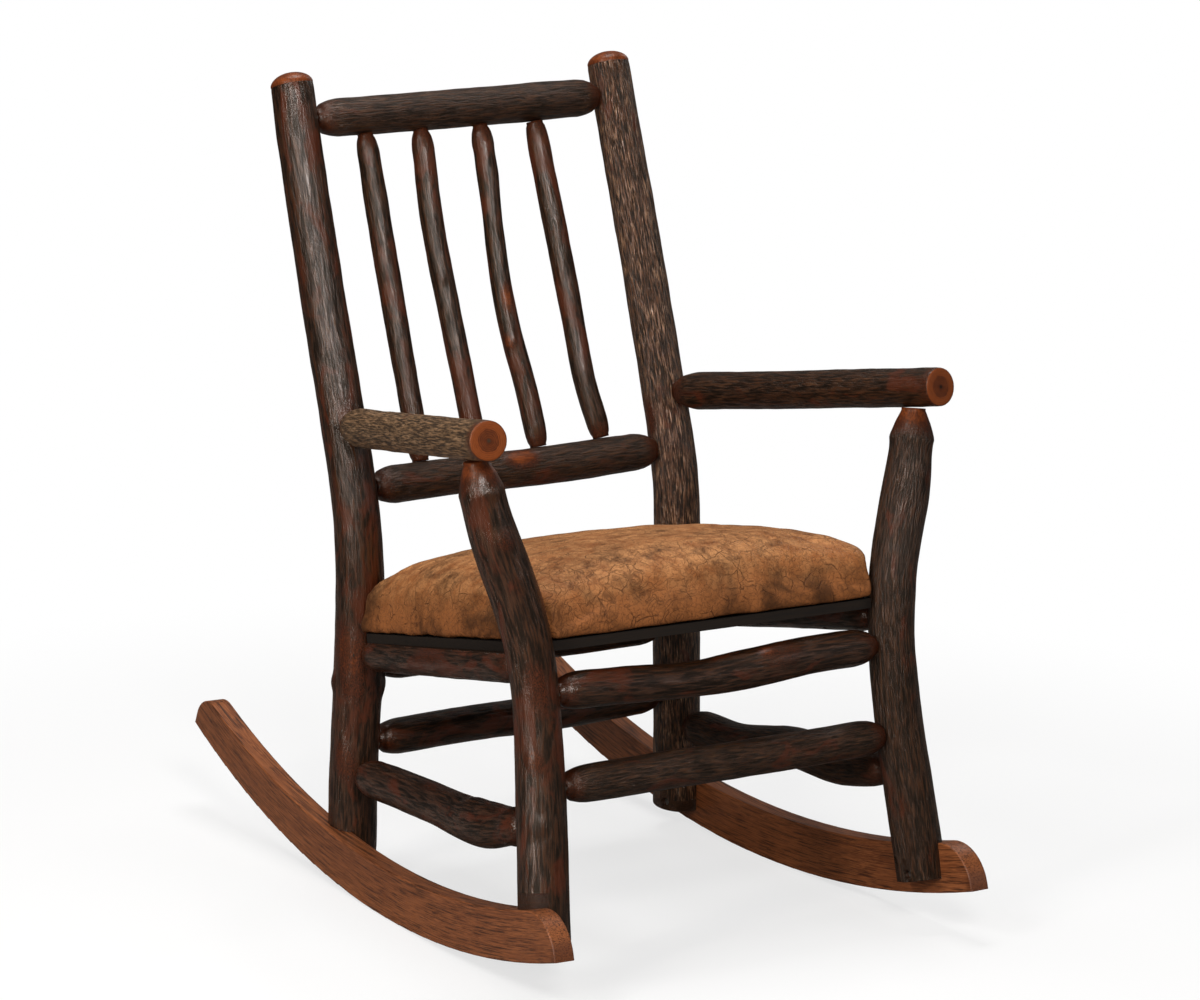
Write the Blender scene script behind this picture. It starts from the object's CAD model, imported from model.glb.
import logging
import math
from collections.abc import Mapping, Sequence
from dataclasses import dataclass, field
from enum import Enum

import bpy
import numpy as np
from bpy.types import Material, Mesh, Node, NodeSocket, NodeTree, Object
from mathutils import Matrix, Vector
from mathutils.bvhtree import BVHTree


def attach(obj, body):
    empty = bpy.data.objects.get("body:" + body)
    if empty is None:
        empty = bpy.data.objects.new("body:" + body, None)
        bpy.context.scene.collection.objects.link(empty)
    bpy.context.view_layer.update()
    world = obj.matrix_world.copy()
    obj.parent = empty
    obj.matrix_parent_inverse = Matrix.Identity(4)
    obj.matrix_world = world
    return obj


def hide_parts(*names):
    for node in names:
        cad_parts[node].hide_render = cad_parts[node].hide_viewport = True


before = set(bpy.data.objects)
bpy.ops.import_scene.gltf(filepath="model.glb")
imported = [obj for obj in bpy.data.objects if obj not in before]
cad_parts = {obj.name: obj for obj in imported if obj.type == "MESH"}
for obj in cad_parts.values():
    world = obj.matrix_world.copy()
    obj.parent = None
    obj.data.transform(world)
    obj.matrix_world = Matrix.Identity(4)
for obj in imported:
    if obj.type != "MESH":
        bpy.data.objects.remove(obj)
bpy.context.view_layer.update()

# The looks of a hickory rocking chair: barked poles, two sawn rockers and a suede seat.
# Everything is in metres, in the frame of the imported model.

ROOT_BODY = "root"
MILLIMETRE = 0.001
TINY = 1e-8                 # keeps a root or a quotient from nought

Colour = tuple[float, float, float]
Point = tuple[float, float, float]

WHITE: Colour = (1.0, 1.0, 1.0)

log = logging.getLogger("rocking_chair")


@dataclass(frozen=True)
class Cloud:
    """Cloudy noise: clouds per unit of length, octaves, weight of the finer ones, and warp."""

    scale: float
    detail: float = 4.0
    roughness: float = 0.5
    distortion: float = 0.0
    stretch: Point = (1.0, 1.0, 1.0)


class NodeGraph:
    """Adds nodes to a shader or geometry tree and wires them."""

    def __init__(self, tree: NodeTree) -> None:
        """Keep the tree that the nodes go into."""
        self.tree = tree

    def plug(self, socket: NodeSocket, value: object) -> None:
        """Link an output to an input, or set the input's own value.

        Args:
            socket: The input.
            value: An output socket, a number, a vector or a colour.
        """
        if isinstance(value, NodeSocket):
            self.tree.links.new(value, socket)
        elif socket.type == "RGBA":
            socket.default_value = (*value, 1.0)
        else:
            socket.default_value = value

    def add(
        self, kind: str, inputs: Mapping[int | str, object] | None = None, **settings: object
    ) -> Node:
        """Add one node.

        Args:
            kind: Blender's name of the node type.
            inputs: Values or outputs by input name or number.
            settings: Properties of the node itself.

        Returns:
            The new node.
        """
        node = self.tree.nodes.new(kind)
        for name, value in settings.items():
            setattr(node, name, value)
        for key, value in (inputs or {}).items():
            self.plug(node.inputs[key], value)
        return node

    def math(self, operation: str, *values: object) -> NodeSocket:
        """One sum on numbers.

        Args:
            operation: Blender's name of the operation.
            values: Its operands.

        Returns:
            The result's socket.
        """
        inputs = dict(enumerate(values))
        return self.add("ShaderNodeMath", inputs, operation=operation).outputs[0]

    def vector(self, operation: str, *values: object) -> NodeSocket:
        """One sum on vectors.

        Args:
            operation: Blender's name of the operation.
            values: Its operands.

        Returns:
            The resulting vector's socket.
        """
        inputs = dict(enumerate(values))
        return self.add("ShaderNodeVectorMath", inputs, operation=operation).outputs["Vector"]

    def times(self, first: object, second: object) -> NodeSocket:
        """Product of two numbers."""
        return self.math("MULTIPLY", first, second)

    def plus(self, first: object, second: object) -> NodeSocket:
        """Sum of two numbers."""
        return self.math("ADD", first, second)

    def scaled(self, value: object, factor: object, offset: object) -> NodeSocket:
        """A number times a factor, plus an offset."""
        return self.math("MULTIPLY_ADD", value, factor, offset)

    def stretched(self, vector: object, factors: object) -> NodeSocket:
        """A vector with a factor for each axis."""
        return self.vector("MULTIPLY", vector, factors)

    def resized(self, vector: object, factor: object) -> NodeSocket:
        """A vector times one number."""
        inputs = {0: vector, "Scale": factor}
        return self.add("ShaderNodeVectorMath", inputs, operation="SCALE").outputs["Vector"]

    def length(self, vector: object) -> NodeSocket:
        """Length of a vector."""
        return self.add("ShaderNodeVectorMath", {0: vector}, operation="LENGTH").outputs["Value"]

    def joined(self, **axes: object) -> NodeSocket:
        """A vector from numbers for X, Y and Z, where one left out is 0."""
        return self.add("ShaderNodeCombineXYZ", axes).outputs[0]

    def noise(
        self,
        vector: object,
        scale: float,
        detail: float = 4.0,
        roughness: float = 0.5,
        distortion: float = 0.0,
    ) -> NodeSocket:
        """Cloudy noise from 0 to 1.

        Args:
            vector: Where the noise is read.
            scale: Clouds per unit of the vector.
            detail: Octaves.
            roughness: Weight of the finer octaves.
            distortion: How far the clouds are drawn out of shape.

        Returns:
            The noise's socket.
        """
        inputs = {
            "Vector": vector,
            "Scale": scale,
            "Detail": detail,
            "Roughness": roughness,
            "Distortion": distortion,
        }
        return self.add("ShaderNodeTexNoise", inputs).outputs[0]

    def cloud(self, vector: object, kind: Cloud) -> NodeSocket:
        """Cloudy noise of a stated kind."""
        place = self.stretched(vector, kind.stretch)
        return self.noise(place, kind.scale, kind.detail, kind.roughness, kind.distortion)

    def spread(self, value: object, low: float, high: float) -> NodeSocket:
        """Stretch the part of a value between two limits to 0 and 1, with soft ends.

        Args:
            value: The value's socket.
            low: What becomes 0.
            high: What becomes 1.

        Returns:
            The stretched value's socket.
        """
        inputs = {"Value": value, "From Min": low, "From Max": high}
        return self.add("ShaderNodeMapRange", inputs, interpolation_type="SMOOTHSTEP").outputs[0]

    def blend(self, share: object, first: object, second: object) -> NodeSocket:
        """Mix two colours.

        Args:
            share: Share of the second colour.
            first: A colour or its socket.
            second: A colour or its socket.

        Returns:
            The mixed colour's socket.
        """
        inputs = {0: share, 6: first, 7: second}
        return self.add("ShaderNodeMix", inputs, data_type="RGBA").outputs[2]


class ShaderGraph(NodeGraph):
    """The node tree of one material."""

    def __init__(self, name: str) -> None:
        """Start an empty material.

        Args:
            name: The material's name.
        """
        self.material = bpy.data.materials.new(name)
        self.material.use_nodes = True
        self.material.node_tree.nodes.clear()
        super().__init__(self.material.node_tree)

    def named(self, attribute: str, output: str = "Fac") -> NodeSocket:
        """Read an attribute of the piece's own mesh."""
        return self.add("ShaderNodeAttribute", attribute_name=attribute).outputs[output]

    def metres(self) -> NodeSocket:
        """Object coordinates."""
        return self.add("ShaderNodeTexCoord").outputs["Object"]

    def place(self) -> NodeSocket:
        """Object coordinates in millimetres."""
        return self.resized(self.metres(), 1 / MILLIMETRE)

    def bump(self, height: object, depth: float, under: object = None) -> NodeSocket:
        """Relief that is too fine for the mesh.

        Args:
            height: Height from 0 to 1.
            depth: Depth of the relief in metres.
            under: The normal that this relief lies on.

        Returns:
            The new normal's socket.
        """
        inputs = {"Height": height, "Distance": depth, "Strength": 1.0}
        if under is not None:
            inputs["Normal"] = under
        return self.add("ShaderNodeBump", inputs).outputs[0]

    def finish(self, surface: NodeSocket) -> Material:
        """Wire the last shader to the output.

        Args:
            surface: The shader's output.

        Returns:
            The finished material.
        """
        self.add("ShaderNodeOutputMaterial", {"Surface": surface})
        return self.material

    def coated(self, inputs: Mapping[str, object]) -> Material:
        """Finish the material with one principled shader.

        Args:
            inputs: The shader's inputs by name.

        Returns:
            The finished material.
        """
        return self.finish(self.add("ShaderNodeBsdfPrincipled", inputs).outputs[0])


# ---------------------------------------------------------------- finishes
@dataclass(frozen=True)
class BarkFinish:
    """Varnished hickory bark, with inner bark and bare wood where it is shaved or scarred.

    Widths, depths, pitches and radii are in millimetres, shares and gloss from 0 to 1.
    """

    name: str
    furrow: Colour = (0.0042, 0.0019, 0.0009)
    ridge: Colour = (0.036, 0.0145, 0.0062)
    weathered: Colour = (0.130, 0.074, 0.041)
    flush: Colour = (0.066, 0.014, 0.0045)
    inner: Colour = (0.080, 0.018, 0.006)
    bare: Colour = (0.180, 0.042, 0.009)
    bare_dark: Colour = (0.052, 0.011, 0.003)
    furrow_width: float = 2.6
    furrow_run: float = 0.11        # along the pole, as a share of across it
    furrow_depth: float = 0.8
    fine_depth: float = 0.16
    weathered_share: float = 0.45
    flush_share: float = 0.35
    roughness: float = 0.48
    shine: float = 0.22             # of the bark under the varnish
    gloss: float = 0.12             # least roughness of the varnish
    coat: float = 0.75
    varnish: Colour = (1.0, 0.78, 0.60)
    ring_pitch: float = 2.3
    pith: tuple[float, float] = (3.4, 1.2)
    heart: float = 9.0
    sapwood: tuple[float, float] = (14.0, 19.0)

    PLATES = Cloud(0.11, 4.0, 0.6, stretch=(1, 1, 0.35))
    PATCHES = Cloud(0.030, 5.0, 0.6, 0.8, (1, 1, 0.4))
    FIBRE = Cloud(0.9, 3.0, 0.6, stretch=(1, 1, 0.05))
    FINE = Cloud(1.5, 3.0, 0.6, stretch=(1, 1, 0.25))
    TEAR = Cloud(0.28, 4.0, 0.65)
    WOOD_LINES = Cloud(0.8, 4.0, 0.6, stretch=(1, 1, 0.06))
    WOOD_CLOUD = Cloud(0.07, 2.0)
    RING_DRIFT = Cloud(0.11, 3.0)
    RING_CLOUD = Cloud(0.16, 4.0, 0.6)

    def bark_colour(
        self, graph: ShaderGraph, grain: object, furrows: object
    ) -> NodeSocket:
        """Colour of the bark itself.

        Args:
            graph: The material's graph.
            grain: Millimetres across and along the pole.
            furrows: Height of the furrows from 0 to 1.

        Returns:
            The colour's socket.
        """
        plates = graph.cloud(grain, self.PLATES)
        patches = graph.cloud(grain, self.PATCHES)
        fibre = graph.cloud(grain, self.FIBRE)
        colour = graph.blend(graph.spread(furrows, 0.40, 0.64), self.furrow, self.ridge)
        grey = graph.times(graph.spread(plates, 0.40, 0.72), self.weathered_share)
        grey = graph.times(grey, graph.spread(furrows, 0.46, 0.62))
        grey = graph.times(grey, graph.spread(fibre, 0.42, 0.58))
        colour = graph.blend(grey, colour, self.weathered)
        warm = graph.spread(patches, 0.66 - 0.3 * self.flush_share, 0.74 - 0.2 * self.flush_share)
        return graph.blend(graph.times(warm, 0.75), colour, self.flush)

    def wood_colour(self, graph: ShaderGraph, grain: object) -> NodeSocket:
        """Colour of shaved wood, with its fine grain.

        Args:
            graph: The material's graph.
            grain: Millimetres across and along the pole.

        Returns:
            The colour's socket.
        """
        lines = graph.times(graph.cloud(grain, self.WOOD_LINES), 0.6)
        mixed = graph.plus(lines, graph.times(graph.cloud(grain, self.WOOD_CLOUD), 0.4))
        return graph.blend(graph.spread(mixed, 0.36, 0.64), self.bare_dark, self.bare)

    def ring_colour(self, graph: ShaderGraph, grain: object) -> NodeSocket:
        """Colour of end grain: yearly rings round a dark pith.

        Args:
            graph: The material's graph.
            grain: Millimetres across and along the pole.

        Returns:
            The colour's socket.
        """
        flat = graph.stretched(grain, (1, 1, 0))
        drift = graph.times(graph.cloud(flat, self.RING_DRIFT), 5.0)
        measure = graph.length(flat)
        out = graph.plus(measure, drift)
        wave = graph.math("SINE", graph.times(out, 2 * math.pi / self.ring_pitch))
        rings = graph.scaled(wave, 0.22, 0.34)
        sap = graph.times(graph.spread(out, *self.sapwood), 0.42)
        old = graph.times(graph.spread(out, self.heart, 0.5 * self.heart), 0.22)
        rings = graph.math("SUBTRACT", graph.plus(rings, sap), old)
        rings = graph.plus(rings, graph.scaled(graph.cloud(flat, self.RING_CLOUD), 0.7, -0.35))
        colour = graph.blend(graph.spread(rings, 0.1, 0.9), self.bare_dark, self.bare)
        return graph.blend(graph.spread(measure, *self.pith), colour, self.furrow)

    def material(self) -> Material:
        """Build the finish.

        Returns:
            Its material.
        """
        graph = ShaderGraph(self.name)
        grain = graph.resized(graph.named("grain", "Vector"), 1 / MILLIMETRE)
        along = (1.0, 1.0, self.furrow_run)
        furrows = graph.cloud(grain, Cloud(1 / self.furrow_width, 5.0, 0.62, 0.35, along))
        fine = graph.cloud(grain, self.FINE)
        bare = graph.named("bare")
        torn = graph.scaled(graph.cloud(grain, self.TEAR), 3.2, -1.6)
        part = graph.times(bare, graph.math("SUBTRACT", 1.0, bare))
        bare = graph.scaled(torn, part, bare)
        colour = self.bark_colour(graph, grain, furrows)
        inner = graph.blend(graph.spread(fine, 0.35, 0.7), self.furrow, self.inner)
        colour = graph.blend(graph.spread(bare, 0.05, 0.5), colour, inner)
        colour = graph.blend(graph.spread(bare, 0.5, 0.95), colour, self.wood_colour(graph, grain))
        colour = graph.blend(graph.named("sawn"), colour, self.ring_colour(graph, grain))
        colour = graph.blend(graph.spread(graph.named("eye"), 0.55, 1.0), colour, self.furrow)
        relief = graph.times(graph.spread(furrows, 0.34, 0.66), graph.spread(bare, 0.6, 0.0))
        normal = graph.bump(relief, self.furrow_depth * MILLIMETRE)
        normal = graph.bump(fine, self.fine_depth * MILLIMETRE, normal)
        coat = graph.scaled(graph.spread(bare, 0.3, 0.9), -0.7 * self.coat, self.coat)
        coat = graph.times(coat, graph.spread(furrows, 0.30, 0.62))
        return graph.coated({
            "Base Color": colour,
            "Roughness": self.roughness,
            "Specular IOR Level": self.shine,
            "Specular Tint": self.varnish,
            "Coat Weight": coat,
            "Coat Roughness": graph.scaled(fine, 0.12, self.gloss),
            "Coat Tint": self.varnish,
            "Coat Normal": normal,
            "Normal": normal,
        })


@dataclass(frozen=True)
class SawnFinish:
    """Stained and varnished boards whose grain follows the rockers' curve.

    nose is where the end grain begins and is full, fore and aft in metres. arc is in metres.
    """

    name: str = "stained_board"
    pale: Colour = (0.260, 0.086, 0.029)
    mid: Colour = (0.150, 0.044, 0.014)
    pore: Colour = (0.016, 0.0050, 0.0020)
    end_grain: Colour = (0.060, 0.014, 0.003)
    nose: tuple[float, float] = (-0.428, -0.438)
    arc: float = 1.455
    bands: float = 70.0
    pore_depth: float = 0.18
    roughness: float = 0.32
    shine: float = 0.3

    WAVES = Cloud(0.16, 3.0, 0.55, 0.4, (0.6, 1, 0.018))
    PORES = Cloud(0.7, 4.0, 0.7, stretch=(0.6, 1, 0.012))
    SHADE = Cloud(0.03, 3.0, stretch=(1, 1, 0.15))

    def material(self) -> Material:
        """Build the finish.

        Returns:
            Its material.
        """
        graph = ShaderGraph(self.name)
        parts = graph.add("ShaderNodeSeparateXYZ", {0: graph.metres()}).outputs
        below = graph.math("SUBTRACT", self.arc, parts["Z"])
        angle = graph.math("ARCTAN2", parts["Y"], below)
        square = graph.plus(graph.math("POWER", parts["Y"], 2.0), graph.math("POWER", below, 2.0))
        lift = graph.math("SUBTRACT", self.arc, graph.math("SQRT", square))
        along = graph.times(angle, self.arc / MILLIMETRE)
        drift = graph.times(graph.math("POWER", angle, 2.0), 90.0)
        across = graph.scaled(lift, 1 / MILLIMETRE, drift)
        grain = graph.joined(X=graph.times(parts["X"], 1 / MILLIMETRE), Y=across, Z=along)
        bands = graph.math("SINE", graph.times(graph.cloud(grain, self.WAVES), self.bands))
        pores = graph.cloud(grain, self.PORES)
        shade = graph.scaled(graph.cloud(grain, self.SHADE), 0.7, 0.1)
        tone = graph.scaled(bands, 0.22, shade)
        colour = graph.blend(graph.spread(tone, 0.15, 0.75), self.mid, self.pale)
        dark = graph.times(graph.spread(pores, 0.50, 0.60), 0.8)
        colour = graph.blend(dark, colour, self.pore)
        nose = graph.times(graph.spread(parts["Y"], *self.nose), 0.6)
        colour = graph.blend(nose, colour, self.end_grain)
        return graph.coated({
            "Base Color": colour,
            "Roughness": graph.scaled(pores, 0.2, self.roughness),
            "Specular IOR Level": self.shine,
            "Normal": graph.bump(graph.times(pores, -1.0), self.pore_depth * MILLIMETRE),
        })


@dataclass(frozen=True)
class SuedeFinish:
    """Distressed suede: mottled tan, rubbed pale on top, with crackled creases.

    Places and lengths are in millimetres.
    """

    name: str = "distressed_suede"
    pale: Colour = (0.480, 0.222, 0.086)
    tan: Colour = (0.262, 0.094, 0.030)
    dark: Colour = (0.070, 0.027, 0.010)
    crease: Colour = (0.050, 0.018, 0.008)
    corner: Point = (-245.0, -335.0, 400.0)
    pull_end: tuple[float, float] = (330.0, 150.0)
    pull_start: tuple[float, float] = (20.0, 60.0)
    warp: float = 16.0
    crease_depth: float = 0.9
    nap_depth: float = 0.3
    roughness: float = 0.45
    shine: float = 0.1

    BLOTCH = Cloud(0.011, 5.0, 0.62, 0.6)
    RUB = Cloud(0.045, 5.0, 0.7)
    NAP = Cloud(0.6, 4.0, 0.7)
    PULL_BEND = Cloud(0.02, 2.0)
    PULL = Cloud(1.0, 2.0, 0.6)

    def cracks(
        self, graph: ShaderGraph, place: object, scale: float, width: float, where: object
    ) -> NodeSocket:
        """Thin branching cracks.

        Args:
            graph: The material's graph.
            place: Where, in warped millimetres.
            scale: Cells to the millimetre.
            width: Half a crack's width, as a share of a cell.
            where: How many of the cracks show, from 0 to 1.

        Returns:
            The cracks' share, from 0 to 1.
        """
        cells = {"Vector": place, "Scale": scale}
        edge = graph.add("ShaderNodeTexVoronoi", cells, feature="DISTANCE_TO_EDGE").outputs[0]
        return graph.times(graph.spread(edge, width, 0.2 * width), where)

    def pulls(self, graph: ShaderGraph, place: object) -> NodeSocket:
        """Creases that run out from the corner behind the left front post.

        Args:
            graph: The material's graph.
            place: Millimetres.

        Returns:
            The creases' share, from 0 to 1.
        """
        away = graph.vector("SUBTRACT", place, self.corner)
        parts = graph.add("ShaderNodeSeparateXYZ", {0: away}).outputs
        up = graph.scaled(parts["Y"], 0.8, parts["Z"])
        angle = graph.math("ARCTAN2", up, parts["X"])
        reach = graph.length(away)
        turned = graph.plus(angle, graph.times(graph.cloud(place, self.PULL_BEND), 0.9))
        ray = graph.joined(X=graph.times(turned, 9.0), Y=graph.times(reach, 0.012))
        ridge = graph.math("SUBTRACT", graph.cloud(ray, self.PULL), 0.5)
        ridge = graph.math("ABSOLUTE", ridge)
        near = graph.times(graph.spread(reach, *self.pull_end), graph.spread(reach, *self.pull_start))
        return graph.times(graph.spread(ridge, 0.022, 0.004), graph.times(near, 0.75))

    def material(self) -> Material:
        """Build the finish.

        Returns:
            Its material.
        """
        graph = ShaderGraph(self.name)
        place = graph.place()
        blotch = graph.cloud(place, self.BLOTCH)
        rub = graph.cloud(place, self.RUB)
        nap = graph.cloud(place, self.NAP)
        swirl = graph.add("ShaderNodeTexNoise", {"Vector": place, "Scale": 0.05, "Detail": 5.0})
        warped = graph.vector("ADD", place, graph.resized(swirl.outputs["Color"], self.warp))
        crease = self.cracks(graph, warped, 0.040, 0.034, graph.spread(rub, 0.44, 0.60))
        fine = self.cracks(graph, warped, 0.13, 0.11, graph.spread(nap, 0.38, 0.60))
        crease = graph.math("MAXIMUM", crease, graph.times(fine, 0.5))
        crease = graph.math("MAXIMUM", crease, self.pulls(graph, place))
        height = graph.named("rise")
        colour = graph.blend(graph.spread(blotch, 0.36, 0.58), self.dark, self.tan)
        pale = graph.times(graph.spread(rub, 0.32, 0.66), graph.spread(height, 0.15, 0.9))
        colour = graph.blend(graph.times(pale, 0.9), colour, self.pale)
        speck = graph.times(graph.spread(nap, 0.52, 0.70), 0.45)
        colour = graph.blend(speck, colour, self.dark)
        colour = graph.blend(graph.times(crease, 0.72), colour, self.crease)
        normal = graph.bump(graph.times(crease, -1.0), self.crease_depth * MILLIMETRE)
        return graph.coated({
            "Base Color": colour,
            "Roughness": graph.scaled(rub, 0.3, self.roughness),
            "Specular IOR Level": self.shine,
            "Normal": graph.bump(nap, self.nap_depth * MILLIMETRE, normal),
        })


@dataclass(frozen=True)
class PlainFinish:
    """A quieter finish for hidden pieces: two tones, a grain and a roughness.

    pitch and depth of the grain are in millimetres.
    """

    name: str
    first: Colour
    second: Colour
    roughness: float
    stretch: Point = (1.0, 1.0, 1.0)
    pitch: float = 1.5
    depth: float = 0.05
    metallic: float = 0.0
    shine: float = 0.25

    def material(self) -> Material:
        """Build the finish.

        Returns:
            Its material.
        """
        graph = ShaderGraph(self.name)
        grain = graph.cloud(graph.place(), Cloud(1 / self.pitch, 4.0, 0.6, stretch=self.stretch))
        colour = graph.blend(graph.spread(grain, 0.35, 0.65), self.first, self.second)
        return graph.coated({
            "Base Color": colour,
            "Metallic": self.metallic,
            "Specular IOR Level": self.shine,
            "Roughness": graph.scaled(grain, 0.25, self.roughness),
            "Normal": graph.bump(grain, self.depth * MILLIMETRE),
        })


# ---------------------------------------------------------------- poles
class Tip(Enum):
    """How the end of a pole is made."""

    SHOULDER = "shaved into a tenon"
    DOME = "rounded and peeled"
    SAWN = "sawn square"
    FOOT = "cut over a rocker"


@dataclass(frozen=True)
class End:
    """One end of a pole.

    bare is how much bark is shaved away there, from 0 to 1, over a length in metres.
    """

    tip: Tip
    bare: float = 0.45
    length: float = 0.022


@dataclass(frozen=True)
class Knot:
    """A branch knot, bump or scar near a point on a pole's skin, in metres.

    bare and eye are how bare and how dark it is, from 0 to 1. stretch draws it out along the pole.
    """

    at: Point
    size: float
    height: float = 0.0
    bare: float = 0.0
    eye: float = 0.0
    stretch: float = 1.6


@dataclass
class PoleLine:
    """Centre line and radius of a pole, with how each station is finished."""

    centres: np.ndarray
    radii: np.ndarray
    bare: np.ndarray
    sawn: np.ndarray


class PoleFeeler:
    """Feels the centre line and radius of a pole from inside its CAD solid."""

    FEELERS = 32            # rays at each station
    STEP = 0.004            # between stations
    FIRST = 0.003           # from the pole's end to the first station
    LAST = 0.001            # left over at the far end
    END_SLICE = 0.0012      # of the solid, whose middle is where the pole starts
    SETTLING = 6            # stations after which the heading follows the line
    ROUNDS = 4              # of fitting a circle
    TYPICAL = 60            # percentile of the rays that stands for the radius
    BAND = 0.12             # share of the radius within which a ray has met the skin
    FEWEST = 0.4            # share of the rays that must meet the skin
    TOLERANCE = 0.0004      # of the skin from its circle
    JUMP = 0.5              # share of the radius that a station may shift sideways

    def __init__(self, node: str, heading: Point, floor: float, bent: bool) -> None:
        """Prepare the solid.

        Args:
            node: The CAD node.
            heading: Direction from the end where the feeling starts, rough for a straight pole.
            floor: Height below which the pole is not felt.
            bent: Whether the pole is too bent to have one direction.
        """
        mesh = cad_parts[node].data
        corners = np.empty(len(mesh.vertices) * 3, np.float32)
        mesh.vertices.foreach_get("co", corners)
        self.corners = corners.reshape(-1, 3).astype(float)
        faces = [tuple(face.vertices) for face in mesh.polygons]
        self.tree = BVHTree.FromPolygons([Vector(corner) for corner in self.corners], faces)
        self.heading = Vector(heading).normalized()
        if not bent:
            middle = self.corners.mean(axis=0)
            axis = Vector(np.linalg.svd(self.corners - middle, full_matrices=False)[2][0])
            self.heading = axis if axis.dot(self.heading) > 0 else -axis
        self.floor = floor
        turns = np.linspace(0, 2 * math.pi, self.FEELERS, endpoint=False)
        self.fan = np.stack([np.cos(turns), np.sin(turns)], axis=1)

    def ring(self, centre: Vector, heading: Vector) -> tuple[Vector, float] | None:
        """Fit a circle round the pole at one station.

        Args:
            centre: A point inside the pole.
            heading: The pole's direction there.

        Returns:
            The fitted centre and radius, or None where too much of the skin is cut away.
        """
        side = heading.orthogonal().normalized()
        other = heading.cross(side)
        hits = []
        for across, up in self.fan:
            ray = side * across + other * up
            distance = self.tree.ray_cast(centre, ray)[3]
            if distance is not None:
                hits.append((across * distance, up * distance))
        if len(hits) < self.FEELERS / 2:
            return None
        hits = np.array(hits)
        reach = np.hypot(*hits.T)
        typical = np.percentile(reach, self.TYPICAL)
        good = np.abs(reach - typical) < self.BAND * typical
        middle, radius = np.zeros(2), typical
        for _ in range(self.ROUNDS):
            if good.sum() < self.FEELERS * self.FEWEST:
                return None
            chosen = hits[good]
            system = np.column_stack([2 * chosen, np.ones(len(chosen))])
            answer = np.linalg.lstsq(system, (chosen ** 2).sum(axis=1), rcond=None)[0]
            middle = answer[:2]
            radius = math.sqrt(max(answer[2] + (middle ** 2).sum(), TINY))
            good = np.abs(np.hypot(*(hits - middle).T) - radius) < self.TOLERANCE
        return centre + side * middle[0] + other * middle[1], radius

    def feel(self) -> tuple[np.ndarray, np.ndarray]:
        """Walk along the pole.

        Returns:
            The centres and the radii of all stations.
        """
        reach = self.corners @ np.array(self.heading)
        ends = self.corners[reach < reach.min() + self.END_SLICE]
        start = Vector(ends.mean(axis=0))
        total = reach.max() - reach.min()
        centre, heading, radius = start + self.heading * self.FIRST, self.heading.copy(), None
        centres, radii, felt = [], [], []
        while (centre - start).dot(self.heading) < total - self.LAST and centre.z > self.floor:
            fitted = self.ring(centre, heading)
            if fitted is not None:
                shift = (fitted[0] - centre).length
                if radius is None or shift < self.JUMP * fitted[1]:
                    centre, radius = fitted
                    felt.append(len(centres))
            centres.append(np.array(centre))
            radii.append(radius or 0.0)
            if len(centres) > self.SETTLING:
                heading = Vector(centres[-1] - centres[-self.SETTLING]).normalized()
            centre = centre + heading * self.STEP
        kept = np.array(felt)
        steps = np.arange(kept[0], kept[-1] + 1)
        line = np.array(centres)[kept]
        mended = np.column_stack([np.interp(steps, kept, line[:, axis]) for axis in range(3)])
        return mended, np.interp(steps, kept, np.array(radii)[kept])


def smoothed(values: np.ndarray, width: int) -> np.ndarray:
    """Running mean with the ends kept.

    Args:
        values: One row for each station.
        width: Stations on each side that are averaged.

    Returns:
        The smoothed rows.
    """
    result = values.copy()
    count = len(values)
    for index in range(count):
        reach = min(width, index, count - 1 - index)
        result[index] = values[index - reach:index + reach + 1].mean(axis=0)
    return result


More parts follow.
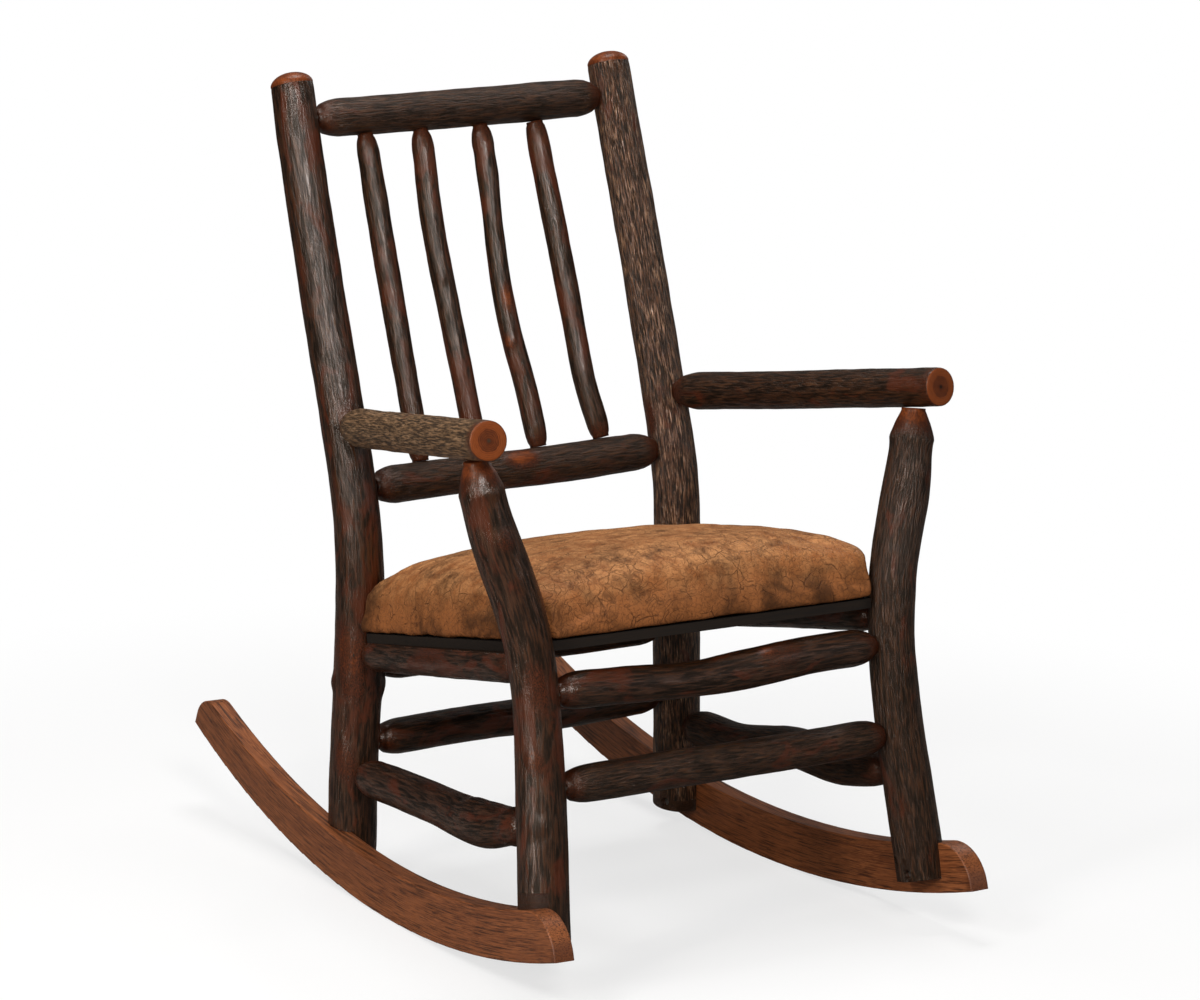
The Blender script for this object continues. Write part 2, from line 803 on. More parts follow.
class BarkTube:
    """Geometry Nodes that wrap bark round a centre line."""

    SIZES = {
        "Around": ("NodeSocketInt", 96),
        "Furrow Depth": ("NodeSocketFloat", 0.0008),
        "Furrow Width": ("NodeSocketFloat", 0.006),
        "Wobble Depth": ("NodeSocketFloat", 0.0016),
        "Wobble Width": ("NodeSocketFloat", 0.045),
        "Seed": ("NodeSocketFloat", 0.0),
        "Bark": ("NodeSocketMaterial", None),
    }

    def __init__(self) -> None:
        """Build the tree and note its inputs' identifiers."""
        self.tree = bpy.data.node_groups.new("bark_tube", "GeometryNodeTree")
        face = self.tree.interface
        face.new_socket("Geometry", in_out="INPUT", socket_type="NodeSocketGeometry")
        face.new_socket("Geometry", in_out="OUTPUT", socket_type="NodeSocketGeometry")
        self.identifiers: dict[str, str] = {}
        for name, (kind, value) in self.SIZES.items():
            socket = face.new_socket(name, in_out="INPUT", socket_type=kind)
            self.identifiers[name] = socket.identifier
            if value is not None:
                socket.default_value = value
        self.wire()

    def attribute(self, graph: NodeGraph, name: str, kind: str = "FLOAT") -> NodeSocket:
        """Read a named attribute inside the tree."""
        node = graph.add("GeometryNodeInputNamedAttribute", {"Name": name}, data_type=kind)
        return node.outputs[0]

    def store(
        self, graph: NodeGraph, shape: object, name: str, value: object, kind: str
    ) -> NodeSocket:
        """Write a named attribute on every point.

        Args:
            graph: The tree's graph.
            shape: The geometry's socket.
            name: The attribute.
            value: The value's socket.
            kind: The attribute's data type.

        Returns:
            The geometry's socket.
        """
        inputs = {"Geometry": shape, "Name": name, "Value": value}
        node = graph.add("GeometryNodeStoreNamedAttribute", inputs, data_type=kind, domain="POINT")
        return node.outputs[0]

    def wire(self) -> None:
        """Lay out the nodes."""
        graph = NodeGraph(self.tree)
        given = graph.add("NodeGroupInput").outputs
        rail = graph.add("GeometryNodeMeshToCurve", {"Mesh": given["Geometry"]}).outputs[0]
        length = graph.add("GeometryNodeSplineParameter").outputs["Length"]
        rail = self.store(graph, rail, "along", length, "FLOAT")
        inputs = {"Resolution": given["Around"], "Radius": 1.0}
        circle = graph.add("GeometryNodeCurvePrimitiveCircle", inputs)
        position = graph.add("GeometryNodeInputPosition").outputs[0]
        profile = self.store(graph, circle.outputs[0], "round", position, "FLOAT_VECTOR")
        girth = self.attribute(graph, "girth")
        inputs = {"Curve": rail, "Profile Curve": profile, "Scale": girth, "Fill Caps": True}
        tube = graph.add("GeometryNodeCurveToMesh", inputs).outputs[0]
        flat = graph.resized(self.attribute(graph, "round", "FLOAT_VECTOR"), girth)
        grain = graph.vector("ADD", flat, graph.joined(Z=self.attribute(graph, "along")))
        grain = graph.vector("ADD", grain, graph.joined(Z=given["Seed"]))
        tube = self.store(graph, tube, "grain", grain, "FLOAT_VECTOR")
        relief = self.relief(graph, grain, given)
        offset = graph.resized(graph.add("GeometryNodeInputNormal").outputs[0], relief)
        moved = graph.add("GeometryNodeSetPosition", {"Geometry": tube, "Offset": offset})
        smooth = graph.add("GeometryNodeSetShadeSmooth", {"Geometry": moved.outputs[0]}).outputs[0]
        real = graph.add("GeometryNodeRealizeInstances", {"Geometry": smooth}).outputs[0]
        dressed = graph.add("GeometryNodeSetMaterial", {"Geometry": real, "Material": given["Bark"]})
        graph.add("NodeGroupOutput", {0: dressed.outputs[0]})

    def relief(
        self, graph: NodeGraph, grain: object, given: bpy.types.bpy_prop_collection
    ) -> NodeSocket:
        """Height of furrows and slow lumps, none of it on a sawn or shaved end.

        Args:
            graph: The tree's graph.
            grain: Metres across and along the pole.
            given: The tree's inputs.

        Returns:
            The height's socket, in metres.
        """
        total: object = None
        for depth, width, run in (
            ("Furrow Depth", "Furrow Width", 0.14), ("Wobble Depth", "Wobble Width", 0.7),
        ):
            stretched = graph.stretched(grain, (1.0, 1.0, run))
            scale = graph.math("DIVIDE", 1.0, given[width])
            cloud = graph.noise(stretched, scale, 2.0)
            swing = graph.times(graph.scaled(cloud, 2.0, -1.0), given[depth])
            total = swing if total is None else graph.plus(total, swing)
        barked = graph.math("SUBTRACT", 1.0, self.attribute(graph, "sawn"))
        smooth = graph.scaled(self.attribute(graph, "bare"), -0.7, 1.0)
        return graph.times(total, graph.times(barked, smooth))

    def wrap(self, rail: Object, sizes: Mapping[str, object]) -> None:
        """Turn a centre line's object into the finished tube.

        Args:
            rail: A mesh of edges with girth, bare and sawn on its points.
            sizes: Values of the tree's inputs by name.
        """
        modifier = rail.modifiers.new("bark", "NODES")
        modifier.node_group = self.tree
        for name, value in sizes.items():
            modifier[self.identifiers[name]] = value
        freeze(rail)


def freeze(piece: Object) -> None:
    """Replace a piece's mesh with the result of its modifiers, and remove them.

    Args:
        piece: An object of the scene.
    """
    bpy.context.view_layer.update()
    graph = bpy.context.evaluated_depsgraph_get()
    mesh = bpy.data.meshes.new_from_object(piece.evaluated_get(graph), depsgraph=graph)
    piece.modifiers.clear()
    old = piece.data
    piece.data = mesh
    mesh.name = piece.name
    bpy.data.meshes.remove(old)


def read_points(mesh: Mesh, name: str = "") -> np.ndarray:
    """Read positions, or a named attribute, of a mesh's points.

    Args:
        mesh: The mesh.
        name: The attribute, or nothing for the positions.

    Returns:
        One row for each point.
    """
    source = mesh.attributes[name] if name else mesh.attributes["position"]
    vector = source.data_type == "FLOAT_VECTOR"
    values = np.empty(len(mesh.vertices) * (3 if vector else 1), np.float32)
    source.data.foreach_get("vector" if vector else "value", values)
    return values.reshape(-1, 3).astype(float) if vector else values.astype(float)


def write_points(mesh: Mesh, values: np.ndarray, name: str = "") -> None:
    """Write positions, or a named attribute, of a mesh's points.

    Args:
        mesh: The mesh.
        values: One row for each point.
        name: The attribute, or nothing for the positions.
    """
    target = mesh.attributes["position"] if not name else mesh.attributes.get(name)
    if target is None:
        kind = "FLOAT_VECTOR" if values.ndim > 1 else "FLOAT"
        target = mesh.attributes.new(name, kind, "POINT")
    field_name = "vector" if target.data_type == "FLOAT_VECTOR" else "value"
    target.data.foreach_set(field_name, values.astype(np.float32).ravel())
    mesh.update()


def link_object(name: str, data: bpy.types.ID) -> Object:
    """Put a new object in the scene.

    Args:
        name: The object's name.
        data: Its mesh, lamp or camera.

    Returns:
        The object.
    """
    item = bpy.data.objects.new(name, data)
    bpy.context.scene.collection.objects.link(item)
    return item


def new_piece(name: str, points: Sequence, edges: Sequence, faces: Sequence) -> Object:
    """Make an object from mesh data and put it in the scene.

    Args:
        name: The object's name.
        points: Its points.
        edges: Its loose edges.
        faces: Its faces.

    Returns:
        The object.
    """
    mesh = bpy.data.meshes.new(name)
    mesh.from_pydata([tuple(point) for point in points], edges, faces)
    return link_object(name, mesh)


def prism_faces(count: int, first: int = 0) -> list[tuple[int, ...]]:
    """Faces of a closed prism between two rings of points.

    Args:
        count: Points in each ring.
        first: Number of the first ring's first point.

    Returns:
        The point numbers of each face.
    """
    low = range(first, first + count)
    faces = [tuple(low)[::-1], tuple(number + count for number in low)]
    for step in range(count):
        here, ahead = first + step, first + (step + 1) % count
        faces.append((here, ahead, ahead + count, here + count))
    return faces


def new_tool(name: str, points: Sequence[Vector], faces: Sequence, bare: float) -> Object:
    """Make a cutting tool, whose places become the grain of the wood that it lays open.

    Args:
        name: Its object's name.
        points: Its points.
        faces: Its faces.
        bare: How bare the cut wood is, from 0 to 1.

    Returns:
        The tool's object.
    """
    tool = new_piece(name, points, [], faces)
    write_points(tool.data, np.array([tuple(point) for point in points]), "grain")
    write_points(tool.data, np.full(len(points), bare), "bare")
    return tool


@dataclass
class Pole:
    """One barked pole, wrapped round the centre line of its CAD node.

    tenon is the radius up to which its ends lie hidden in other poles. floor is the height below
    which the CAD pole is cut to shape and not felt.
    """

    node: str
    slot: str
    finish: Material
    heading: Point
    start: End = End(Tip.SHOULDER)
    finish_end: End = End(Tip.SHOULDER)
    tenon: float = 0.0105
    seed: float = 0.0
    around: int = 96
    furrow_depth: float = 0.0005
    wobble_depth: float = 0.0013
    knots: tuple[Knot, ...] = ()
    floor: float = -1.0
    bent: bool = False

    SMOOTHING = 3               # stations on each side that are averaged
    TENON_STEP = 0.0007         # by which a shoulder stands out from the tenon
    FULL_SHAVE = 1.25           # how soon the shaving of a shoulder is complete
    FULL_TRIM = 1.3             # how soon the bared rim of a sawn end is complete
    LEAD = 5                    # stations that tell the direction of an end
    BEFORE_DOME = slice(-14, -8)    # stations that tell the full radius before a dome
    CAP_RINGS = 8
    CAP_RISE = 0.0002
    LEAST = 0.0002              # radius in the middle of a closed end
    HIDDEN = 0.003              # of a shouldered end inside the other pole
    DOME = 0.0165
    DOME_RINGS = 14
    DOME_START = 0.985          # share of the full radius where the dome begins
    DOME_RISE = 0.001           # of the dome's first ring
    DOME_TOP = (0.012, 0.018)   # where its end grain begins and is full
    DOME_GRAIN = 0.6
    FOOT_RISES = (0.03, 0.06, 0.1, 0.14)
    SCAR_EDGE = 1.6             # sharpness of a scar's edge
    EYE = 0.4                   # share of a knot's size that its dark eye takes
    SAWN_RISE = 0.0015
    # Of a sawn end's rounded edge: rise, fall of the radius, bareness and end grain.
    EDGE = (
        (0.0, 0.0, 0.5, 0.0),
        (0.0011, 0.0003, 0.55, 0.0),
        (0.0018, 0.0009, 0.7, 0.4),
        (0.0023, 0.0016, 0.9, 0.9),
        (0.0025, 0.0025, 1.0, 1.0),
    )

    def line(self) -> PoleLine:
        """Feel the CAD pole and shape its two ends.

        Returns:
            The finished centre line.
        """
        centres, radii = PoleFeeler(self.node, self.heading, self.floor, self.bent).feel()
        thick = radii > self.tenon + self.TENON_STEP
        first, last = np.flatnonzero(thick)[[0, -1]]
        centres, radii = smoothed(centres[first:last + 1], self.SMOOTHING), radii[first:last + 1]
        steps = np.linalg.norm(np.diff(centres, axis=0), axis=1)
        along = np.concatenate([[0.0], np.cumsum(steps)])
        bare = np.zeros(len(along))
        for end, distance in ((self.start, along), (self.finish_end, along[-1] - along)):
            if end.tip is Tip.SHOULDER:
                shaved = np.clip(self.FULL_SHAVE - distance / end.length, 0.0, 1.0)
                bare = np.maximum(bare, end.bare * shaved)
        line = PoleLine(centres, radii, bare, np.zeros(len(along)))
        line = self.capped(line, self.finish_end)
        turned = PoleLine(line.centres[::-1], line.radii[::-1], line.bare[::-1], line.sawn[::-1])
        return self.capped(turned, self.start)

    def capped(self, line: PoleLine, end: End) -> PoleLine:
        """Close the last end of a line.

        Args:
            line: The pole so far.
            end: How its last end is made.

        Returns:
            The pole with that end closed.
        """
        heading = line.centres[-1] - line.centres[-self.LEAD]
        heading = heading / np.linalg.norm(heading)
        if end.tip is Tip.DOME:
            full = np.median(line.radii[self.BEFORE_DOME])
            kept = np.flatnonzero(line.radii > self.DOME_START * full)[-1]
            line = PoleLine(*(part[:kept + 1] for part in (line.centres, line.radii, line.bare, line.sawn)))
            turns = np.linspace(0.0, 0.5 * math.pi, self.DOME_RINGS)
            rises = self.DOME_RISE + self.DOME * np.sin(turns)
            radii = full * np.cos(turns)
            radii[0] = full * self.DOME_START
            bare = np.ones(self.DOME_RINGS)
            sawn = np.interp(rises, self.DOME_TOP, (0.0, self.DOME_GRAIN))
        elif end.tip is Tip.SAWN:
            rises, falls, bare, sawn = np.array(self.EDGE).T
            rises, radii = self.SAWN_RISE + rises, line.radii[-1] - falls
        elif end.tip is Tip.FOOT:
            rises, radii = np.array(self.FOOT_RISES), np.full(len(self.FOOT_RISES), line.radii[-1])
            bare, sawn = np.zeros(len(rises)), np.zeros(len(rises))
        else:
            rises, radii = np.array([self.HIDDEN]), line.radii[-1:]
            bare, sawn = np.array([end.bare]), np.zeros(1)
        if end.tip is not Tip.DOME:
            shares = np.linspace(1.0, 0.0, self.CAP_RINGS + 1)[1:]
            rises = np.concatenate([rises, rises[-1] + self.CAP_RISE * (1 - shares)])
            radii = np.concatenate([radii, radii[-1] * shares])
            is_cut = float(end.tip is Tip.SAWN)
            bare = np.concatenate([bare, np.full(len(shares), max(is_cut, bare[-1]))])
            sawn = np.concatenate([sawn, np.full(len(shares), is_cut)])
        radii = np.maximum(radii, self.LEAST)
        tail = line.centres[-1] + rises[:, None] * heading
        if end.tip is Tip.SAWN:
            distance = np.linalg.norm(line.centres - tail[-1], axis=1)
            fresh = np.clip(self.FULL_TRIM - distance / end.length, 0.0, 1.0)
            line.bare = np.maximum(line.bare, fresh * end.bare)
        return PoleLine(
            np.vstack([line.centres, tail]),
            np.concatenate([line.radii, radii]),
            np.concatenate([line.bare, bare]),
            np.concatenate([line.sawn, sawn]),
        )

    def build(self, tube: BarkTube) -> Object:
        """Wrap the bark, add the knots and dress the pole.

        Args:
            tube: The shared Geometry Nodes tree.

        Returns:
            The finished piece.
        """
        line = self.line()
        count = len(line.radii)
        edges = [(index, index + 1) for index in range(count - 1)]
        piece = new_piece(self.node + "_bark", line.centres, edges, [])
        for name, values in (("girth", line.radii), ("bare", line.bare), ("sawn", line.sawn)):
            write_points(piece.data, values, name)
        tube.wrap(piece, {
            "Around": self.around,
            "Furrow Depth": self.furrow_depth,
            "Wobble Depth": self.wobble_depth,
            "Seed": self.seed,
            "Bark": self.finish,
        })
        self.add_knots(piece)
        return piece

    def add_knots(self, piece: Object) -> None:
        """Raise bumps and bare the wood round each knot.

        Args:
            piece: The pole's object.
        """
        mesh = piece.data
        points, bare = read_points(mesh), read_points(mesh, "bare")
        eye = np.zeros(len(points))
        normals = np.empty(len(points) * 3, np.float32)
        mesh.vertex_normals.foreach_get("vector", normals)
        normals = normals.reshape(-1, 3)
        axis = np.array(Vector(self.heading).normalized())
        for knot in self.knots:
            away = points - np.array(knot.at)
            along = (away @ axis) / knot.stretch
            across = np.linalg.norm(away - np.outer(away @ axis, axis), axis=1)
            distance = np.hypot(along, across) / knot.size
            swell = np.where(distance < 1.0, (1 - distance ** 2) ** 2, 0.0)
            points = points + normals * (swell * knot.height)[:, None]
            bare = np.maximum(bare, knot.bare * np.clip(self.SCAR_EDGE * (1 - distance), 0.0, 1.0))
            eye = np.maximum(eye, knot.eye * np.clip(1 - distance / self.EYE, 0.0, 1.0))
        write_points(mesh, points)
        write_points(mesh, bare, "bare")
        write_points(mesh, eye, "eye")

    def dress(self, piece: Object) -> None:
        """Let the piece stand for its CAD node.

        Args:
            piece: The finished pole.
        """
        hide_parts(self.node)
        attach(piece, ROOT_BODY)


# ---------------------------------------------------------------- rockers
@dataclass(frozen=True)
class RockerArc:
    """The rockers' curve, from which the posts' feet are cut.

    The gaps are those between the two rockers, at front_y and at rear_y.
    """

    arc: float = 1.455
    depth: float = 0.064
    tail_depth: float = 0.055
    front_reach: float = 0.444
    rear_reach: float = 0.569
    gap_front: float = 0.582
    gap_rear: float = 0.532
    front_y: float = -0.3658
    rear_y: float = 0.176
    foot_lift: float = 0.020    # from the rolling edge to a post's inner half
    ease: float = 0.0001        # round the notch
    tool: float = 0.090         # reach of the cutting tools
    steps: int = 48
    bare: float = 0.9           # bareness of the cut wood

    def edge(self, front_lift: float, rear_lift: float) -> list[tuple[float, float]]:
        """Points of a curve above the rolling edge.

        Args:
            front_lift: Height above that edge, in front and in the middle.
            rear_lift: Height above it at the rear end.

        Returns:
            Pairs of fore-and-aft place and height.
        """
        start, end = -math.asin(self.front_reach / self.arc), math.asin(self.rear_reach / self.arc)
        points = []
        for step in range(self.steps + 1):
            angle = start + (end - start) * step / self.steps
            share = max(angle, 0.0) / end
            lift = front_lift + (rear_lift - front_lift) * share ** 2
            radius = self.arc - lift
            points.append((radius * math.sin(angle), self.arc - radius * math.cos(angle)))
        return points

    def prism(
        self, name: str, side: int, low: float, high: tuple[float, float], start: float
    ) -> Object:
        """A cutting tool between two curves.

        Args:
            name: Its object's name.
            side: 1 for the right rocker, -1 for the left one.
            low: Lift of the lower curve.
            high: Lifts of the upper curve in front and behind.
            start: Where the tool begins, from the rocker's inner face outwards.

        Returns:
            The tool's object.
        """
        outline = self.edge(low, low) + self.edge(*high)[::-1]
        slope = (self.gap_front - self.gap_rear) / 2 / (self.rear_y - self.front_y)
        toe, contact = math.atan(slope), self.gap_front / 2 + self.front_y * slope
        turn = Matrix.Rotation(toe, 4, "Z")
        points = []
        for x in (start, self.tool):
            for y, z in outline:
                place = turn @ Vector((x, y, z))
                points.append(Vector(((place.x + contact) * side, place.y, place.z)))
        faces = prism_faces(len(outline))
        if side < 0:
            faces = [face[::-1] for face in faces]
        return new_tool(name, points, faces, self.bare)

    def cut_foot(self, post: Object, side: int) -> None:
        """Notch a post over the rocker and trim its foot.

        Args:
            post: The post's piece.
            side: 1 for the right side, -1 for the left one.
        """
        above = (self.depth + self.ease, self.tail_depth + self.ease)
        notch = self.prism("notch", side, -self.tool, above, -self.ease)
        trim = self.prism("trim", side, -self.tool, (self.foot_lift, self.foot_lift), -self.tool)
        for tool in (notch, trim):
            cut_away(post, tool)


def cut_away(piece: Object, tool: Object) -> None:
    """Subtract a tool from a piece and remove the tool.

    Args:
        piece: What is cut.
        tool: A closed mesh.
    """
    modifier = piece.modifiers.new("cut", "BOOLEAN")
    modifier.operation = "DIFFERENCE"
    modifier.solver = "MANIFOLD"
    modifier.object = tool
    freeze(piece)
    bpy.data.objects.remove(tool)


@dataclass(frozen=True)
class ScrewBores:
    """Countersunk holes over the screws of one CAD node."""

    node: str
    head: float                 # radius of a hole
    reach: float = 0.03         # of the tool out of the hole
    sink: float = 0.0005        # of the tool below the top of a head
    sides: int = 32
    margin: float = 0.005       # by which a hole may start outside a piece's box
    bare: float = 0.55          # bareness of the bored wood
    under_head: float = 0.8     # share of the head's radius that only the head has

    def screws(self) -> list[tuple[Vector, Vector]]:
        """Find each screw of the node.

        Returns:
            The top of each head and the direction out of the hole.
        """
        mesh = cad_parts[self.node].data
        points = read_points(mesh)
        keys, index = np.unique(points.round(5), axis=0, return_inverse=True)
        parent = np.arange(len(keys))
        for face in mesh.polygons:
            ids = [self.root(parent, index.ravel()[corner]) for corner in face.vertices]
            for other in ids[1:]:
                parent[self.root(parent, other)] = self.root(parent, ids[0])
        roots = np.array([self.root(parent, number) for number in range(len(keys))])
        found = []
        for number in np.unique(roots):
            island = keys[roots == number]
            middle = island.mean(axis=0)
            axis = np.linalg.svd(island - middle)[2][0]
            reach = (island - middle) @ axis
            girth = np.linalg.norm(island - middle - np.outer(reach, axis), axis=1)
            if reach[girth > self.under_head * self.head].mean() < 0:
                axis, reach = -axis, -reach
            top = middle + axis * reach.max()
            found.append((Vector(top), Vector(axis)))
        return found

    def root(self, parent: np.ndarray, number: int) -> int:
        """Find the point that stands for an island.

        Args:
            parent: For each point, one nearer to the point that stands for it.
            number: A point of the island.

        Returns:
            The point that stands for its island.
        """
        while parent[number] != number:
            parent[number] = parent[parent[number]]
            number = parent[number]
        return int(number)

    def cut(self, piece: Object) -> None:
        """Bore the holes whose heads lie inside a piece's box.

        Args:
            piece: A pole.
        """
        low = np.array(piece.bound_box).min(axis=0) - self.margin
        high = np.array(piece.bound_box).max(axis=0) + self.margin
        points, faces = [], []
        for top, out in self.screws():
            if not all(low[axis] < top[axis] < high[axis] for axis in range(3)):
                continue
            side = out.orthogonal().normalized()
            other = out.cross(side)
            faces += prism_faces(self.sides, len(points))
            for rise in (-self.sink, self.reach):
                for step in range(self.sides):
                    turn = 2 * math.pi * step / self.sides
                    across = side * math.cos(turn) + other * math.sin(turn)
                    points.append(top + out * rise + across * self.head)
        if points:
            cut_away(piece, new_tool("bores", points, faces, self.bare))


# ---------------------------------------------------------------- seat
@dataclass(frozen=True)
class SeatPlane:
    """The plane of the seat board's underside, which tips up in front."""

    middle: Point = (0.0, -0.063, 0.366)
    tilt: float = math.radians(11.3)
    tool_half: float = 0.5
    tool_height: float = 0.1
    bare: float = 0.9           # bareness of the planed wood

    def up(self) -> Vector:
        """Direction square to the seat."""
        return Vector((0.0, math.sin(self.tilt), math.cos(self.tilt)))

    def heights(self, points: np.ndarray) -> np.ndarray:
        """Heights of points above the plane."""
        return (points - np.array(self.middle)) @ np.array(self.up())

    def trim(self, piece: Object) -> None:
        """Plane a flat on a rail where the board lies on it.

        Args:
            piece: The rail.
        """
        up, corners = self.up(), ((-1, -1), (1, -1), (1, 1), (-1, 1))
        across = Vector((1, 0, 0))
        back = up.cross(across)
        points = []
        for rise in (0.0, self.tool_height):
            for x, y in corners:
                aside = (across * x + back * y) * self.tool_half
                points.append(Vector(self.middle) + aside + up * rise)
        cut_away(piece, new_tool("plane_iron", points, prism_faces(len(corners)), self.bare))


@dataclass
class Cushion:
    """The upholstered seat: foam under suede, blown up a little as cloth and creased."""

    plane: SeatPlane
    finish: Material
    weld: float = 0.00005
    voxel: float = 0.006
    softening: int = 4
    pressure: float = 4.0
    mass: float = 0.3
    stretch_stiffness: float = 12.0
    bend_stiffness: float = 0.6
    cap: float = 0.006              # most that the pressure moves the cover
    frames: int = 20
    bottom: float = 0.0126          # above the board's underside
    pinned_above: float = 0.012     # of the cover that stays where it is stapled
    top: float = 0.115
    fold_width: float = 0.055
    fold_height: float = 0.0045
    post_gap: float = 0.0015
    post_zone: tuple[float, float] = (0.3, 0.55)    # heights where the posts pass the cushion
    level: float = 0.0025

    def shell(self) -> Object:
        """An even closed mesh of the foam.

        Returns:
            The cushion's object.
        """
        piece = link_object("seat_cushion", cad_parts["seat_foam"].data.copy())
        weld = piece.modifiers.new("weld", "WELD")
        weld.merge_threshold = self.weld
        remesh = piece.modifiers.new("remesh", "REMESH")
        remesh.mode = "VOXEL"
        remesh.voxel_size = self.voxel
        soften = piece.modifiers.new("soften", "SMOOTH")
        soften.iterations = self.softening
        freeze(piece)
        return piece

    def inflate(self, piece: Object) -> None:
        """Blow the cover up as cloth and cap how far it moves.

        Args:
            piece: The cushion.
        """
        rest = read_points(piece.data)
        heights = self.plane.heights(rest)
        pinned = piece.vertex_groups.new(name="pinned")
        stapled = np.flatnonzero(heights < self.bottom + self.pinned_above)
        pinned.add(stapled.tolist(), 1.0, "REPLACE")
        cloth = piece.modifiers.new("cloth", "CLOTH")
        settings = cloth.settings
        settings.quality = 5
        settings.mass = self.mass
        settings.tension_stiffness = self.stretch_stiffness
        settings.compression_stiffness = self.stretch_stiffness
        settings.bending_stiffness = self.bend_stiffness
        settings.use_pressure = True
        settings.uniform_pressure_force = self.pressure
        settings.effector_weights.gravity = 0.0
        settings.vertex_group_mass = pinned.name
        scene = bpy.context.scene
        for number in range(1, self.frames + 1):
            scene.frame_set(number)
        freeze(piece)
        scene.frame_set(1)
        step = read_points(piece.data) - rest
        length = np.linalg.norm(step, axis=1)
        keep = np.minimum(1.0, self.cap / np.maximum(length, TINY))
        write_points(piece.data, rest + step * keep[:, None])
        piece.vertex_groups.clear()

    def refine(self, piece: Object) -> None:
        """Subdivide once.

        Args:
            piece: The cushion.
        """
        finer = piece.modifiers.new("finer", "SUBSURF")
        finer.levels = 1
        finer.render_levels = 1
        freeze(piece)

    def crease(self, piece: Object) -> None:
        """Press folds into the cover and set it down on the board.

        Args:
            piece: The cushion.
        """
        texture = bpy.data.textures.new("folds", "CLOUDS")
        texture.noise_scale = self.fold_width
        texture.noise_depth = 1
        folds = piece.modifiers.new("folds", "DISPLACE")
        folds.texture = texture
        folds.texture_coords = "LOCAL"
        folds.strength = self.fold_height
        folds.mid_level = 0.5
        freeze(piece)
        bpy.data.textures.remove(texture)
        points = read_points(piece.data)
        heights = self.plane.heights(points)
        lift = np.maximum(self.bottom - heights, 0.0)
        points = points + lift[:, None] * np.array(self.plane.up())
        write_points(piece.data, points)
        rise = np.clip((self.plane.heights(points) - self.bottom) / (self.top - self.bottom), 0.0, 1.0)
        write_points(piece.data, rise, "rise")

    def clear_posts(self, piece: Object, posts: Sequence[PoleLine]) -> None:
        """Push the cover out of the posts.

        Args:
            piece: The cushion.
            posts: Centre lines of the four posts.
        """
        points = read_points(piece.data)
        low, high = self.post_zone
        for post in posts:
            near = (post.centres[:, 2] > low) & (post.centres[:, 2] < high)
            for centre, radius in zip(post.centres[near], post.radii[near]):
                level = np.abs(points[:, 2] - centre[2]) < self.level
                away = points[level, :2] - centre[:2]
                distance = np.linalg.norm(away, axis=1)
                need = np.maximum(radius + self.post_gap - distance, 0.0)
                points[level, :2] += away / np.maximum(distance, TINY)[:, None] * need[:, None]
        write_points(piece.data, points)

    def build(self, posts: Sequence[PoleLine]) -> Object:
        """Make the cushion.

        Args:
            posts: Centre lines of the four posts.

        Returns:
            The finished piece.
        """
        piece = self.shell()
        self.inflate(piece)
        self.refine(piece)
        self.crease(piece)
        self.clear_posts(piece, posts)
        piece.data.materials.clear()
        piece.data.materials.append(self.finish)
        piece.data.shade_smooth()
        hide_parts("seat_cover", "seat_foam")
        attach(piece, ROOT_BODY)
        return piece


